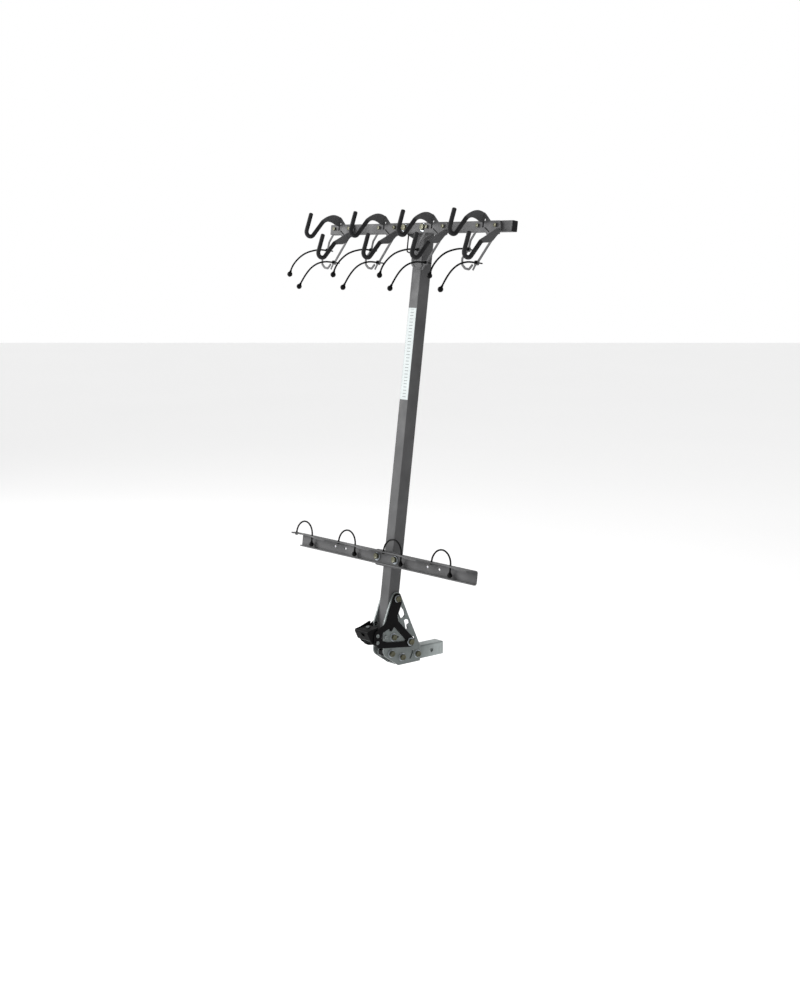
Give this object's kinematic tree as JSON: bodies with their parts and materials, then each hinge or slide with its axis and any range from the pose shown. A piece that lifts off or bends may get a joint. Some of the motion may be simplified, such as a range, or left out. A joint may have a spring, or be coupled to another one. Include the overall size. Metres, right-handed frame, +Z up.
{
  "type": "hitch mounted bike rack",
  "caption": "Vertical hanging bike rack on a hitch shank: tilting mast with a foot latch, a top bar with double hooks and rubber straps, and a lower bar with wheel ties.",
  "frame": {"origin": "centre of the hitch pin hole, on the hitch tube's centre line", "axes": "+Z up, +Y along the hitch tube towards the vehicle, +X along the pin hole, across the rack"},
  "size_m": [1.064, 0.3886, 1.6862],
  "materials": {
    "powder_coat": "fine textured powder coat",
    "black_paint": "satin black",
    "zinc": "clear zinc plating",
    "yellow_zinc": "yellow zinc plating",
    "pale_zinc": "pale zinc plating",
    "dark_steel": "oiled spring steel",
    "rubber": "matt rubber",
    "sleeve_rubber": "ribbed dull rubber",
    "cap_plastic": "moulded black",
    "decal": "pale printed film"
  },
  "bodies": {
    "base": {"hitch_tube": "zinc", "side_plate_left": "zinc", "side_plate_right": "zinc", "base_bolts": "yellow_zinc", "base_washers": "pale_zinc", "base_nuts": "yellow_zinc", "side_screws": "zinc", "lever_pivot_bolts": "yellow_zinc", "rest_block": "rubber", "rest_plate": "zinc"},
    "latch": {"latch_plate_left": "black_paint", "latch_plate_right": "black_paint", "foot_pedal": "black_paint", "pedal_screws": "zinc", "lock_bolt": "yellow_zinc", "lock_nut": "yellow_zinc", "lock_roller": "dark_steel", "return_spring": "dark_steel"},
    "mast": {"mast": "powder_coat", "pivot_bush": "dark_steel", "mast_decal": "decal", "catch_arm": "zinc", "head_plate": "powder_coat", "bar_plate": "powder_coat", "crossbar": "powder_coat", "end_caps": "cap_plastic", "bar_bolts": "yellow_zinc", "bar_washers": "pale_zinc", "bar_nuts": "yellow_zinc", "lock_loop": "black_paint", "wheel_bar": "powder_coat", "wheel_ties": "rubber", "strap_balls": "rubber", "strap_plugs": "rubber", "bracket_bolts": "yellow_zinc", "bracket_nuts": "yellow_zinc", "hook_bracket_1": "powder_coat", "strap_plate_1": "powder_coat", "hook_rods_1": "powder_coat", "hook_sleeves_1": "sleeve_rubber", "hook_strap_upper_1": "rubber", "hook_strap_lower_1": "rubber", "hook_bracket_2": "powder_coat", "strap_plate_2": "powder_coat", "hook_rods_2": "powder_coat", "hook_sleeves_2": "sleeve_rubber", "hook_strap_upper_2": "rubber", "hook_strap_lower_2": "rubber", "hook_bracket_3": "powder_coat", "strap_plate_3": "powder_coat", "hook_rods_3": "powder_coat", "hook_sleeves_3": "sleeve_rubber", "hook_strap_upper_3": "rubber", "hook_strap_lower_3": "rubber", "hook_bracket_4": "powder_coat", "strap_plate_4": "powder_coat", "hook_rods_4": "powder_coat", "hook_sleeves_4": "sleeve_rubber", "hook_strap_upper_4": "rubber", "hook_strap_lower_4": "rubber"}
  },
  "joints": [
    {"name": "mast_tilt", "type": "hinge", "parent": "base", "child": "mast", "pos_m": [0, -0.2, 0.083], "axis": [1, 0, 0], "range_deg": [0, 25]},
    {"name": "latch_release", "type": "hinge", "parent": "base", "child": "latch", "pos_m": [0, -0.184, 0.229], "axis": [1, 0, 0], "range_deg": [0, 6], "stiffness_Nm_per_rad": 60, "springref_deg": -6.88}
  ]
}
